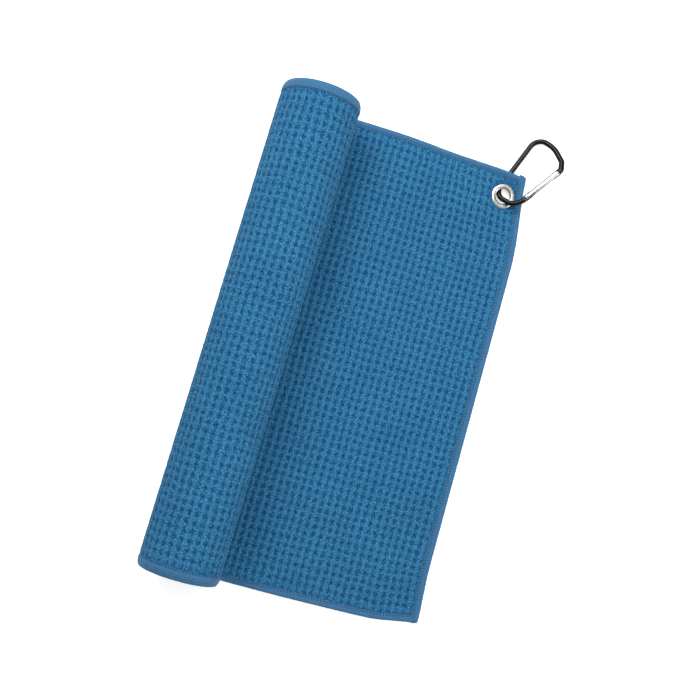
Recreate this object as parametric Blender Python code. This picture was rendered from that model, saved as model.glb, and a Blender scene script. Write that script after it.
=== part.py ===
"""Golf towel: a waffle cloth with bound edges, part rolled up, with a grommet and a carabiner.

Metres, +Z up.  X runs along the cloth's length, from the roll at -X to the free end at +X.
Y runs along the roll.  The cloth lies on z = 0, and the origin is under the middle of its footprint.
"""
import math

import bmesh
import bpy
from mathutils import Matrix, Vector

MM = 0.001

# Cloth
WIDTH = 406 * MM
LENGTH = 610 * MM
THICK = 3.6 * MM
EDGE_THICK = 1.7 * MM           # the cloth where it is pressed inside a binding
ROLL_OFFSET = 81.5 * MM         # the roll's axis lies this far to -X of the origin
FLAT_LENGTH = 198 * MM          # from under the roll's axis to the free end
ROLL_RADIUS = 35.3 * MM         # mid-cloth, where the flat part meets the roll
ROLL_PITCH = 6.5 * MM           # how far each turn lies inside the last one
ROLL_SQUASH = 0.96              # the roll sags a little under its own weight
ROLL_STEP = math.radians(22.5)
SPIRAL_STEP = math.radians(0.5)
NORMAL_STEP = 0.2 * MM

# The free end is pulled in towards the grommet corner, and narrows.
SKEW = 4.5 * MM
CORNER_PULL = 8.5 * MM
CORNER_ACROSS = (120 * MM, 95 * MM)     # where a pull starts, and over what distance it grows
CORNER_ALONG = (80 * MM, 110 * MM)
TOP_DRAW = 6.0 * MM
TOP_ALONG = (60 * MM, 138 * MM)
BOTTOM_DRAW = 6.5 * MM
BOTTOM_CORNER = 2.5 * MM        # the far corner curls in this much more
BOTTOM_ACROSS = (120 * MM, 83 * MM)
BOTTOM_ALONG = (155 * MM, 43 * MM)

# Where the mesh has its lines: flat lengths from the roll's axis, and places across the cloth
FLAT_LINES = (0, 50, 90, 112, 127, 139, 149, 158, 167, 176, 184)
CROSS_LINES = (-120, -20, 70, 108, 130, 145, 157, 168, 179, 188)
LINE_CLEAR = 2 * MM             # a line nearer than this to an end is left out

# Bindings and their seams
TAPE = 0.65 * MM
GAP = 0.3 * MM
SIDE_TOP_LEG = 4.3 * MM
SIDE_UNDER_LEG = 8.0 * MM
END_LEG = 6.0 * MM
CHANNEL = 1.1 * MM              # between a binding's edge and the full thickness of the cloth
THREAD_RADIUS = 0.22 * MM
THREAD_HEIGHT = 1.45 * MM       # of a seam thread's middle, from the middle of the cloth
EDGE_RAMP = 0.1 * MM
TAPE_CORNER = 0.5 * MM

# Carabiner, in its own plane: (along the spine, across it), from the spine beside the grommet.
BAR_RADIUS = 2.25 * MM
BAR_ARC = math.radians(13)      # the bar's bends are drawn in steps of this angle
BOTTOM_OUT_BEND = 12 * MM       # the bar's bend radii, from the hinge round to the nose
LOOP_END_BEND = 9 * MM
LOOP_TOP_BEND = 9.5 * MM
TOP_MIDDLE_BEND = 24 * MM
NOSE_BEND = 7 * MM
NOSE_RUN = 2.5 * MM             # the bar ends square to the gate over this length
SPINE_ANGLE = math.radians(69.6)
CARABINER_TILT = math.radians(26)
GROMMET_TILT = math.radians(12)
GROMMET_ACROSS = 7.1 * MM       # from the spine's axis to the middle of the grommet
FLOOR_GAP = 0.02 * MM
LOOP_END = -2.35 * MM           # the bar's middle, at the two ends of the loop
LOOP_TOP = 61.0 * MM
TOP_MIDDLE = Vector((59.6 * MM, 18.9 * MM))
NOSE_CORNER = Vector((51.9 * MM, 31.9 * MM))
RIVET = Vector((10.5 * MM, 25.9 * MM))
GATE_ANGLE = math.radians(16.2)
GATE_SPAN = 33.0 * MM           # rivet to the gate's latch end
PIN_SPAN = 30.3 * MM            # rivet to latch pin
GATE_RADIUS = 2.4 * MM
GATE_BACK = 2.4 * MM            # the gate reaches this far behind the rivet
BORE_RADIUS = 1.5 * MM
BORE_END = 17.0 * MM
SLOT_HALF = 1.0 * MM
HINGE_SLOT = 6.2 * MM
LATCH_SLOT = 26.2 * MM
BLADE_HALF = 0.7 * MM
BLADE_WIDTH = 2.8 * MM          # half of the blades' width
BLADE_CORNER = 1.0 * MM
BLADE_SHOULDER = 1.4 * MM
HINGE_BLADE_END = 5.0 * MM
LATCH_BLADE_END = 27.0 * MM
NECK = 3.8 * MM                 # the round bar ends this far behind the rivet
NOSE = 33.6 * MM                # and starts again this far past it
NECK_BLEND = 5.0 * MM           # how far the hinge blade runs back into the bar
NOSE_BLEND = 3.0 * MM
PIN_RADIUS = 0.5 * MM
PIN_HEAD = 0.8 * MM
PIN_NOTCH_PLAY = 0.35 * MM
PIN_NOTCH_DEPTH = 0.6 * MM      # the notch's mouth goes this far past the pin's axis
PIN_NOTCH_ROOF = 0.4 * MM
RIVET_RADIUS = 0.8 * MM
RIVET_HEAD = 1.2 * MM
RIVET_HEAD_HEIGHT = 0.35 * MM
HEAD_GAP = 0.25 * MM
PLUNGER_RADIUS = 1.15 * MM
PLUNGER_LENGTH = 3.2 * MM
SPRING_RADIUS = 0.9 * MM
WIRE_RADIUS = 0.2 * MM
SPRING_TURNS = 5

# Grommet, turned about its own axis
HOLE_RADIUS = 6.5 * MM
FLANGE_RADIUS = 10.5 * MM
WALL = 0.4 * MM
WEB_HALF = 0.35 * MM            # half of the cloth's thickness, squeezed in the grommet
RECESS_RADIUS = 10.95 * MM
GROMMET_STEPS = 32
CUTTER_REACH = 8 * MM
LEVEL = WEB_HALF + GAP          # a flange's face, from the middle of the cloth
BARREL = HOLE_RADIUS + WALL
EYELET = (                      # (radius, height), outside round to inside
    (FLANGE_RADIUS, LEVEL), (10.4 * MM, LEVEL + 0.25 * MM), (9.6 * MM, LEVEL + 0.48 * MM),
    (8.4 * MM, LEVEL + 0.55 * MM), (7.2 * MM, LEVEL + 0.42 * MM), (6.6 * MM, LEVEL + 0.1 * MM),
    (HOLE_RADIUS, LEVEL - 0.3 * MM), (HOLE_RADIUS, -1.2 * MM), (BARREL, -1.6 * MM),
    (7.9 * MM, -1.62 * MM), (8.1 * MM, -1.4 * MM), (7.8 * MM, -1.3 * MM), (BARREL, -1.28 * MM),
    (BARREL, LEVEL - 0.2 * MM), (7.1 * MM, LEVEL))
WASHER = (
    (10.3 * MM, -LEVEL), (10.3 * MM, -LEVEL - 0.2 * MM), (9.9 * MM, -LEVEL - 0.35 * MM),
    (BARREL + GAP, -LEVEL - 0.33 * MM), (BARREL + GAP, -LEVEL))

GROMMET_XY = Vector((169.8 * MM - ROLL_OFFSET, 175.6 * MM))
LIFT_PLATEAU = 13.0 * MM        # the cloth stays flat this far around the spine
LIFT_FADE = 52.0 * MM           # and comes down to the surface over this distance
LIFT_REACH = 25.0 * MM          # the spine lies under the cloth for this length

ALONG = Vector((math.cos(SPINE_ANGLE), math.sin(SPINE_ANGLE), 0))
ACROSS_FLAT = Vector((math.sin(SPINE_ANGLE), -math.cos(SPINE_ANGLE), 0))
ACROSS = (ACROSS_FLAT * math.cos(CARABINER_TILT) + Vector((0, 0, math.sin(CARABINER_TILT))))
GROMMET_HEIGHT = FLOOR_GAP + BAR_RADIUS + GROMMET_ACROSS * math.sin(CARABINER_TILT)
GROMMET_CENTRE = Vector((GROMMET_XY.x, GROMMET_XY.y, GROMMET_HEIGHT))
SPINE_POINT = GROMMET_CENTRE - ACROSS * GROMMET_ACROSS


# ---------------------------------------------------------------- helpers

def clear_scene():
    for item in list(bpy.data.objects):
        bpy.data.objects.remove(item, do_unlink=True)


def material(name, colour, roughness, metallic=0.0):
    made = bpy.data.materials.new(name)
    made.use_nodes = True
    shader = made.node_tree.nodes["Principled BSDF"]
    shader.inputs["Base Color"].default_value = (*colour, 1)
    shader.inputs["Roughness"].default_value = roughness
    shader.inputs["Metallic"].default_value = metallic
    return made


def mesh_object(name, shape, finish, sharp_deg=35):
    """Turn a bmesh into a named object, smooth apart from its sharp edges."""
    bmesh.ops.recalc_face_normals(shape, faces=shape.faces)
    mesh = bpy.data.meshes.new(name)
    shape.to_mesh(mesh)
    shape.free()
    mesh.shade_smooth()
    mesh.set_sharp_from_angle(angle=math.radians(sharp_deg))
    mesh.materials.append(finish)
    made = bpy.data.objects.new(name, mesh)
    bpy.context.scene.collection.objects.link(made)
    return made


def cutter(name, shape):
    bmesh.ops.recalc_face_normals(shape, faces=shape.faces)
    mesh = bpy.data.meshes.new(name)
    shape.to_mesh(mesh)
    shape.free()
    made = bpy.data.objects.new(name, mesh)
    made.hide_render = True
    made.display_type = 'WIRE'
    bpy.context.scene.collection.objects.link(made)
    return made


def boolean(target, tool, operation):
    step = target.modifiers.new(tool.name, 'BOOLEAN')
    step.object = tool
    step.operation = operation


def smooth(value):
    value = min(max(value, 0.0), 1.0)
    return value * value * (3 - 2 * value)


def grows(value, span):
    """0 before the span's start, 1 past its end, and smooth between them."""
    start, over = span
    return smooth((value - start) / over)


def frame_matrix(centre, x_axis, y_axis):
    z_axis = x_axis.cross(y_axis)
    turn = Matrix((x_axis, y_axis, z_axis)).transposed().to_4x4()
    return Matrix.Translation(centre) @ turn


# ---------------------------------------------------------------- the cloth's shape

def spiral_table():
    """Angles and lengths along the roll, from the flat part to the cloth's inner end."""
    rolled = LENGTH - FLAT_LENGTH
    steps = [(0.0, 0.0)]
    angle = 0.0
    length = 0.0
    while length < rolled:
        radius = ROLL_RADIUS - ROLL_PITCH * angle / math.tau
        squash = math.hypot(math.cos(angle), ROLL_SQUASH * math.sin(angle))
        length += radius * SPIRAL_STEP * squash
        angle += SPIRAL_STEP
        steps.append((length, angle))
    return steps


SPIRAL = spiral_table()


def spiral_angle(length):
    place = min(int(length / SPIRAL[-1][0] * (len(SPIRAL) - 1)), len(SPIRAL) - 2)
    while place > 0 and SPIRAL[place][0] > length:
        place -= 1
    while place < len(SPIRAL) - 2 and SPIRAL[place + 1][0] < length:
        place += 1
    low, high = SPIRAL[place], SPIRAL[place + 1]
    share = (length - low[0]) / (high[0] - low[0])
    return low[1] + share * (high[1] - low[1])


def roll_point(length, across):
    angle = spiral_angle(length)
    radius = ROLL_RADIUS - ROLL_PITCH * angle / math.tau
    x = -ROLL_OFFSET - radius * math.sin(angle)
    z = THICK / 2 + ROLL_SQUASH * (ROLL_RADIUS - radius * math.cos(angle))
    return Vector((x, across, z))


def lift(x, y):
    """How far the carabiner's spine and the tilted grommet raise the cloth."""
    away = Vector((x, y, 0)) - Vector((GROMMET_XY.x, GROMMET_XY.y, 0))
    along = min(max(away.dot(ALONG), 0.0), LIFT_REACH)
    distance = (away - ALONG * along).length
    across = min(max(away.dot(ACROSS_FLAT), -LIFT_PLATEAU), LIFT_PLATEAU)
    height = GROMMET_HEIGHT - THICK / 2 - across * math.tan(GROMMET_TILT)
    return height * (1 - smooth((distance - LIFT_PLATEAU) / LIFT_FADE))


def middle_point(along, across):
    """The middle of the cloth's thickness; along is below 0 in the roll."""
    if along < 0:
        return roll_point(-along, across)
    share = along / FLAT_LENGTH
    half = WIDTH / 2
    corner = grows(across, CORNER_ACROSS) * grows(along, CORNER_ALONG)
    x = along - SKEW * share * (across + half) / WIDTH - CORNER_PULL * corner - ROLL_OFFSET
    top = grows(along, TOP_ALONG) * max(across, 0.0) / half
    low = grows(-across, BOTTOM_ACROSS) * grows(along, BOTTOM_ALONG)
    bottom = share * share * max(-across, 0.0) / half
    y = across - TOP_DRAW * top + BOTTOM_DRAW * bottom + BOTTOM_CORNER * low
    return Vector((x, y, THICK / 2 + lift(x, y)))


def sheet_point(along, across, height):
    """A point off the middle of the cloth; height is positive on the face that lies upwards."""
    step = NORMAL_STEP
    side_along = middle_point(along + step, across) - middle_point(along - step, across)
    side_across = middle_point(along, across + step) - middle_point(along, across - step)
    return middle_point(along, across) + side_along.cross(side_across).normalized() * height


INNER_END = -(LENGTH - FLAT_LENGTH)


def between(lines, start, end):
    kept = [value for value in lines if start + LINE_CLEAR < value < end - LINE_CLEAR]
    return sorted([start] + kept + [end])


def along_lines(start, end):
    """Lines across the cloth: one each roll step, and closer together around the grommet."""
    turn = spiral_angle(-INNER_END)
    count = int(turn / ROLL_STEP)
    lines = []
    for length, angle in SPIRAL:
        if angle >= ROLL_STEP * (len(lines) + 1) and len(lines) < count:
            lines.append(-length)
    lines += [value * MM for value in FLAT_LINES]
    return between(lines, start, end)


def across_lines(start, end):
    return between([value * MM for value in CROSS_LINES], start, end)


def grid_solid(shape, alongs, acrosses, upper, under):
    """A closed slab over a grid; upper and under give its two heights at each place."""
    def layer(height):
        return [[shape.verts.new(sheet_point(s, t, height(s, t))) for t in acrosses]
                for s in alongs]

    top = layer(upper)
    base = layer(under)
    rows = len(alongs)
    columns = len(acrosses)
    for i in range(rows - 1):
        for j in range(columns - 1):
            shape.faces.new((top[i][j], top[i + 1][j], top[i + 1][j + 1], top[i][j + 1]))
            shape.faces.new((base[i][j], base[i][j + 1], base[i + 1][j + 1], base[i + 1][j]))
    rim = [(i, 0) for i in range(rows)] + [(rows - 1, j) for j in range(1, columns)]
    rim += [(i, columns - 1) for i in range(rows - 2, -1, -1)]
    rim += [(0, j) for j in range(columns - 2, 0, -1)]
    for (i, j), (k, m) in zip(rim, rim[1:] + rim[:1]):
        shape.faces.new((top[i][j], base[i][j], base[k][m], top[k][m]))


def sweep(shape, rings):
    """Join closed rings of points into a solid with flat ends."""
    made = [[shape.verts.new(point) for point in ring] for ring in rings]
    for first, second in zip(made, made[1:]):
        edges = zip(first, first[1:] + first[:1], second, second[1:] + second[:1])
        for a, b, c, d in edges:
            shape.faces.new((a, b, d, c))
    shape.faces.new(made[0][::-1])
    shape.faces.new(made[-1])


# ---------------------------------------------------------------- cloth, bindings, seams

def make_cloth(finish):
    inset = TAPE + GAP
    half = WIDTH / 2

    def margins(leg):
        step = leg + CHANNEL
        return step, step + EDGE_RAMP

    side_top = margins(SIDE_TOP_LEG)
    side_under = margins(SIDE_UNDER_LEG)
    end_step = margins(END_LEG)
    start, end = INNER_END, FLAT_LENGTH
    alongs = along_lines(start + end_step[1], end - end_step[1])
    alongs = [start + inset, start + end_step[0]] + alongs + [end - end_step[0], end - inset]
    edges = [inset, *side_top, side_under[0]]
    acrosses = across_lines(-half + side_under[1], half - side_under[1])
    acrosses = [value - half for value in edges] + acrosses + [half - value for value in edges[::-1]]

    def height(side_edge):
        def value(s, t):
            near_end = min(s - start, end - s) < end_step[1] - EDGE_RAMP / 2
            thin = near_end or half - abs(t) < side_edge
            return EDGE_THICK / 2 if thin else THICK / 2
        return value

    upper = height(side_top[1] - EDGE_RAMP / 2)
    under = height(side_under[1] - EDGE_RAMP / 2)
    shape = bmesh.new()
    grid_solid(shape, alongs, acrosses, upper, lambda s, t: -under(s, t))
    cloth = mesh_object("towel_cloth", shape, finish)
    boolean(cloth, grommet_cutter(), 'DIFFERENCE')
    return cloth


def binding_profile(top_leg, under_leg):
    """A folded tape round the cloth's edge, as (distance in from the edge, height)."""
    outer = THICK / 2
    inner = EDGE_THICK / 2 + GAP
    corner = TAPE_CORNER
    return [(top_leg, outer), (corner, outer), (0, outer - corner), (0, corner - outer),
            (corner, -outer), (under_leg, -outer), (under_leg, -inner), (TAPE, -inner),
            (TAPE, inner), (top_leg, inner)]


def side_binding(name, sign, finish):
    profile = binding_profile(SIDE_TOP_LEG, SIDE_UNDER_LEG)
    clear = END_LEG + CHANNEL
    rings = []
    for s in along_lines(INNER_END + clear, FLAT_LENGTH - clear):
        rings.append([sheet_point(s, sign * (WIDTH / 2 - depth), h) for depth, h in profile])
    shape = bmesh.new()
    sweep(shape, rings)
    mesh_object(name, shape, finish)


def end_binding(name, edge, inward, finish):
    profile = binding_profile(END_LEG, END_LEG)
    rings = []
    for t in across_lines(-WIDTH / 2, WIDTH / 2):
        rings.append([sheet_point(edge + inward * depth, t, h) for depth, h in profile])
    shape = bmesh.new()
    sweep(shape, rings)
    mesh_object(name, shape, finish)


def thread_profile():
    return [(THREAD_RADIUS * math.cos(turn), THREAD_RADIUS * math.sin(turn))
            for turn in (math.pi / 4 + k * math.pi / 2 for k in range(4))]


def side_seam(name, sign, face, leg, finish):
    clear = END_LEG + CHANNEL + GAP
    depth = leg + CHANNEL / 2
    rings = []
    for s in along_lines(INNER_END + clear, FLAT_LENGTH - clear):
        rings.append([sheet_point(s, sign * (WIDTH / 2 - depth - a), face * THREAD_HEIGHT + b)
                      for a, b in thread_profile()])
    shape = bmesh.new()
    sweep(shape, rings)
    mesh_object(name, shape, finish)


def end_seam(name, edge, inward, face, finish):
    depth = END_LEG + CHANNEL / 2
    side = WIDTH / 2 - TAPE - GAP
    rings = []
    for t in across_lines(-side, side):
        rings.append([sheet_point(edge + inward * (depth + a), t, face * THREAD_HEIGHT + b)
                      for a, b in thread_profile()])
    shape = bmesh.new()
    sweep(shape, rings)
    mesh_object(name, shape, finish)


# ---------------------------------------------------------------- grommet

def grommet_matrix():
    normal_tilt = ACROSS_FLAT * math.cos(GROMMET_TILT) - Vector((0, 0, math.sin(GROMMET_TILT)))
    return frame_matrix(GROMMET_CENTRE, normal_tilt, ALONG)


def turned(profile):
    """Spin a (radius, height) outline about +Z; it closes on itself unless it starts on the axis."""
    shape = bmesh.new()
    verts = [shape.verts.new((radius, 0, height)) for radius, height in profile]
    closing = verts[:1] if profile[0][0] > 0 else []
    edges = [shape.edges.new(pair) for pair in zip(verts, verts[1:] + closing)]
    bmesh.ops.spin(shape, geom=verts + edges, cent=(0, 0, 0), axis=(0, 0, 1),
                   angle=math.tau, steps=GROMMET_STEPS, use_merge=True)
    bmesh.ops.remove_doubles(shape, verts=shape.verts, dist=0.001 * MM)
    return shape


def grommet_cutter():
    hole = BARREL + GAP
    far = CUTTER_REACH
    shape = turned([(0, far), (RECESS_RADIUS, far), (RECESS_RADIUS, WEB_HALF),
                    (hole, WEB_HALF), (hole, -WEB_HALF), (RECESS_RADIUS, -WEB_HALF),
                    (RECESS_RADIUS, -far), (0, -far)])
    bmesh.ops.transform(shape, matrix=grommet_matrix(), verts=shape.verts)
    return cutter("grommet_cutter", shape)


def make_grommet(finish):
    for name, outline in (("grommet_eyelet", EYELET), ("grommet_washer", WASHER)):
        ring = turned(outline)
        bmesh.ops.transform(ring, matrix=grommet_matrix(), verts=ring.verts)
        mesh_object(name, ring, finish, 50)


# ---------------------------------------------------------------- carabiner

GATE_ALONG = ALONG * math.cos(GATE_ANGLE) + ACROSS * math.sin(GATE_ANGLE)
GATE_OUT = ACROSS * math.cos(GATE_ANGLE) - ALONG * math.sin(GATE_ANGLE)
RIVET_POINT = SPINE_POINT + ALONG * RIVET.x + ACROSS * RIVET.y
GATE_MATRIX = frame_matrix(RIVET_POINT, GATE_ALONG, GATE_OUT)


def gate_point(along):
    direction = Vector((math.cos(GATE_ANGLE), math.sin(GATE_ANGLE)))
    return RIVET + direction * along


def rounded_path(corners):
    """Points along a path of straight runs and arcs; corners are (point, radius)."""
    points = [corners[0][0]]
    for (before, _), (corner, radius), (after, _) in zip(corners, corners[1:], corners[2:]):
        to_before = (before - corner).normalized()
        to_after = (after - corner).normalized()
        half = to_before.angle(to_after) / 2
        setback = radius / math.tan(half)
        centre = corner + (to_before + to_after).normalized() * (radius / math.sin(half))
        start = corner + to_before * setback - centre
        end = corner + to_after * setback - centre
        turn = start.angle_signed(end)
        count = max(3, round(abs(turn) / BAR_ARC))
        for step in range(count + 1):
            spin = Matrix.Rotation(-turn * step / count, 2)
            points.append(centre + spin @ start)
    points.append(corners[-1][0])
    return points


def bar_corners():
    bottom_out = gate_point((LOOP_END - RIVET.x) / math.cos(GATE_ANGLE))
    return [(gate_point(-NECK), 0),
            (bottom_out, BOTTOM_OUT_BEND),
            (Vector((LOOP_END, 0)), LOOP_END_BEND),
            (Vector((LOOP_TOP, 0)), LOOP_TOP_BEND),
            (TOP_MIDDLE, TOP_MIDDLE_BEND),
            (NOSE_CORNER, NOSE_BEND),
            (gate_point(NOSE + NOSE_RUN), NOSE_RUN),
            (gate_point(NOSE), 0)]


def blade(name, outline):
    """A flat tongue in the gate's frame, as thick as two blade halves."""
    shape = bmesh.new()
    face = shape.faces.new([shape.verts.new((x, y, -BLADE_HALF)) for x, y in outline])
    raised = bmesh.ops.extrude_face_region(shape, geom=[face])
    verts = [item for item in raised["geom"] if isinstance(item, bmesh.types.BMVert)]
    bmesh.ops.translate(shape, vec=(0, 0, 2 * BLADE_HALF), verts=verts)
    bmesh.ops.transform(shape, matrix=GATE_MATRIX, verts=shape.verts)
    return cutter(name, shape)


def box(name, low, high):
    shape = bmesh.new()
    bmesh.ops.create_cube(shape, size=1)
    size = [b - a for a, b in zip(low, high)]
    middle = [(a + b) / 2 for a, b in zip(low, high)]
    bmesh.ops.scale(shape, vec=size, verts=shape.verts)
    bmesh.ops.translate(shape, vec=middle, verts=shape.verts)
    bmesh.ops.transform(shape, matrix=GATE_MATRIX, verts=shape.verts)
    return cutter(name, shape)


def rod(shape, radius, low, high, turn, segments=12):
    """A cylinder between two places on the axis that turn sets."""
    made = bmesh.ops.create_cone(shape, cap_ends=True, segments=segments, radius1=radius,
                                 radius2=radius, depth=high - low)
    bmesh.ops.translate(shape, vec=(0, 0, (low + high) / 2), verts=made["verts"])
    bmesh.ops.transform(shape, matrix=turn, verts=made["verts"])


ACROSS_PLANE = Matrix.Identity(4)
ALONG_GATE = Matrix.Rotation(math.pi / 2, 4, 'Y')


def make_body(finish):
    shape_points = rounded_path(bar_corners())
    curve = bpy.data.curves.new("carabiner_bar", 'CURVE')
    curve.dimensions = '3D'
    curve.bevel_depth = BAR_RADIUS
    curve.bevel_resolution = 4
    curve.use_fill_caps = True
    spline = curve.splines.new('POLY')
    spline.points.add(len(shape_points) - 1)
    for knot, point in zip(spline.points, shape_points):
        place = SPINE_POINT + ALONG * point.x + ACROSS * point.y
        knot.co = (*place, 1)
    guide = bpy.data.objects.new("carabiner_bar", curve)
    bpy.context.scene.collection.objects.link(guide)
    solid = bpy.data.meshes.new_from_object(guide)
    bpy.data.objects.remove(guide, do_unlink=True)
    shape = bmesh.new()
    shape.from_mesh(solid)
    bmesh.ops.remove_doubles(shape, verts=shape.verts, dist=0.01 * MM)
    body = mesh_object("carabiner_body", shape, finish, 50)

    wide = BLADE_WIDTH
    corner = BLADE_CORNER
    back = NECK + NECK_BLEND
    end = HINGE_BLADE_END
    boolean(body, blade("hinge_blade", [
        (-back, -BLADE_SHOULDER), (-NECK, -wide), (end - corner, -wide), (end, -wide + corner),
        (end, wide - corner), (end - corner, wide), (-NECK, wide), (-back, BLADE_SHOULDER)]),
        'UNION')
    notch = PIN_RADIUS + PIN_NOTCH_PLAY
    start = LATCH_BLADE_END
    deep = PIN_NOTCH_DEPTH
    boolean(body, blade("latch_blade", [
        (NOSE + NOSE_BLEND, 0), (NOSE, wide), (start + corner, wide), (start, wide - corner),
        (start, -wide + corner), (start + corner, -wide), (PIN_SPAN - notch, -wide),
        (PIN_SPAN - notch, deep), (PIN_SPAN, deep + PIN_NOTCH_ROOF), (PIN_SPAN + notch, deep),
        (PIN_SPAN + notch, -wide), (NOSE, -wide), (NOSE + NOSE_BLEND, -wide)]), 'UNION')
    hole = bmesh.new()
    rod(hole, RIVET_RADIUS + GAP, -3 * MM, 3 * MM, ACROSS_PLANE)
    bmesh.ops.transform(hole, matrix=GATE_MATRIX, verts=hole.verts)
    boolean(body, cutter("rivet_hole_body", hole), 'DIFFERENCE')


def make_gate(finish):
    shape = bmesh.new()
    rod(shape, GATE_RADIUS, -GATE_BACK, GATE_SPAN, ALONG_GATE, 20)
    rims = [edge for edge in shape.edges if len(edge.link_faces) == 2
            and any(len(face.verts) > 4 for face in edge.link_faces)]
    bmesh.ops.bevel(shape, geom=rims, offset=0.5 * MM, segments=2, profile=0.5, affect='EDGES',
                    material=-1)
    bmesh.ops.transform(shape, matrix=GATE_MATRIX, verts=shape.verts)
    gate = mesh_object("gate", shape, finish, 50)
    reach = 4 * MM
    boolean(gate, box("hinge_slot", (-reach, -reach, -SLOT_HALF),
                      (HINGE_SLOT, reach, SLOT_HALF)), 'DIFFERENCE')
    boolean(gate, box("latch_slot", (LATCH_SLOT, -reach, -SLOT_HALF),
                      (GATE_SPAN + reach, reach, SLOT_HALF)), 'DIFFERENCE')
    bore = bmesh.new()
    rod(bore, BORE_RADIUS, HINGE_SLOT - 1 * MM, BORE_END, ALONG_GATE, 16)
    bmesh.ops.transform(bore, matrix=GATE_MATRIX, verts=bore.verts)
    boolean(gate, cutter("spring_bore", bore), 'DIFFERENCE')
    holes = bmesh.new()
    rod(holes, RIVET_RADIUS + GAP, -reach, reach, ACROSS_PLANE)
    rod(holes, PIN_RADIUS + GAP, -reach, reach, Matrix.Translation((PIN_SPAN, 0, 0)), 10)
    bmesh.ops.transform(holes, matrix=GATE_MATRIX, verts=holes.verts)
    boolean(gate, cutter("pin_holes", holes), 'DIFFERENCE')
    set_origin(gate, GATE_MATRIX)


def set_origin(item, matrix):
    """Put an object's origin on its joint's axis and leave its shape where it is."""
    item.data.transform(matrix.inverted())
    item.matrix_world = matrix


def headed_pin(name, radius, head, where, finish):
    """A pin through the gate, with a low head outside each cheek."""
    face = GATE_RADIUS + HEAD_GAP
    top = face + RIVET_HEAD_HEIGHT
    shape = bmesh.new()
    verts = [shape.verts.new((x, 0, z)) for x, z in (
        (0, -top), (head * 0.6, -top), (head, -face - GAP / 3), (head, -face), (radius, -face),
        (radius, face), (head, face), (head, face + GAP / 3), (head * 0.6, top), (0, top))]
    edges = [shape.edges.new(pair) for pair in zip(verts, verts[1:])]
    bmesh.ops.spin(shape, geom=verts + edges, cent=(0, 0, 0), axis=(0, 0, 1),
                   angle=math.tau, steps=16, use_merge=True)
    bmesh.ops.remove_doubles(shape, verts=shape.verts, dist=0.001 * MM)
    bmesh.ops.translate(shape, vec=(where, 0, 0), verts=shape.verts)
    bmesh.ops.transform(shape, matrix=GATE_MATRIX, verts=shape.verts)
    mesh_object(name, shape, finish, 40)


def make_plunger(finish):
    start = HINGE_BLADE_END + GAP
    shape = bmesh.new()
    rod(shape, PLUNGER_RADIUS, start, start + PLUNGER_LENGTH, ALONG_GATE)
    rims = [edge for edge in shape.edges
            if all((vert.co.x - start) < 0.1 * MM for vert in edge.verts)]
    bmesh.ops.bevel(shape, geom=rims, offset=0.3 * MM, segments=2, profile=0.5, affect='EDGES',
                    material=-1)
    bmesh.ops.transform(shape, matrix=GATE_MATRIX, verts=shape.verts)
    mesh_object("spring_plunger", shape, finish, 40)


def make_spring(finish):
    start = HINGE_BLADE_END + PLUNGER_LENGTH + 3 * GAP
    length = BORE_END - 2 * GAP - start
    per_turn = 12
    curve = bpy.data.curves.new("gate_spring", 'CURVE')
    curve.dimensions = '3D'
    curve.bevel_depth = WIRE_RADIUS
    curve.bevel_resolution = 1
    curve.use_fill_caps = True
    spline = curve.splines.new('POLY')
    count = SPRING_TURNS * per_turn + 1
    spline.points.add(count - 1)
    for step, knot in enumerate(spline.points):
        turn = math.tau * step / per_turn
        local = Vector((start + WIRE_RADIUS + (length - 2 * WIRE_RADIUS) * step / (count - 1),
                        SPRING_RADIUS * math.cos(turn), SPRING_RADIUS * math.sin(turn)))
        knot.co = (*(GATE_MATRIX @ local), 1)
    spring = bpy.data.objects.new("gate_spring", curve)
    curve.materials.append(finish)
    bpy.context.scene.collection.objects.link(spring)


# ---------------------------------------------------------------- build

def main():
    clear_scene()
    blue = material("waffle_cloth", (0.03, 0.16, 0.34), 0.95)
    tape = material("binding_tape", (0.06, 0.22, 0.47), 0.85)
    thread = material("seam_thread", (0.08, 0.26, 0.50), 0.7)
    nickel = material("nickel", (0.72, 0.72, 0.70), 0.22, 1.0)
    black = material("black_anodised", (0.02, 0.02, 0.02), 0.35, 0.6)
    silver = material("silver_aluminium", (0.86, 0.86, 0.86), 0.3, 1.0)
    steel = material("spring_steel", (0.55, 0.55, 0.56), 0.3, 1.0)

    make_cloth(blue)
    side_binding("binding_grommet_side", 1, tape)
    side_binding("binding_far_side", -1, tape)
    end_binding("binding_free_end", FLAT_LENGTH, -1, tape)
    end_binding("binding_inner_end", INNER_END, 1, tape)
    for side, sign in (("grommet_side", 1), ("far_side", -1)):
        side_seam("needle_thread_" + side, sign, 1, SIDE_TOP_LEG, thread)
        side_seam("bobbin_thread_" + side, sign, -1, SIDE_UNDER_LEG, thread)
    for end, edge, inward in (("free_end", FLAT_LENGTH, -1), ("inner_end", INNER_END, 1)):
        end_seam("needle_thread_" + end, edge, inward, 1, thread)
        end_seam("bobbin_thread_" + end, edge, inward, -1, thread)
    make_grommet(nickel)
    make_body(black)
    make_gate(silver)
    headed_pin("gate_rivet", RIVET_RADIUS, RIVET_HEAD, 0, steel)
    headed_pin("latch_pin", PIN_RADIUS, PIN_HEAD, PIN_SPAN, steel)
    make_plunger(steel)
    make_spring(steel)


main()
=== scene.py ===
import math

import bmesh
import bpy
import numpy as np
from mathutils import Matrix, Vector


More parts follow.
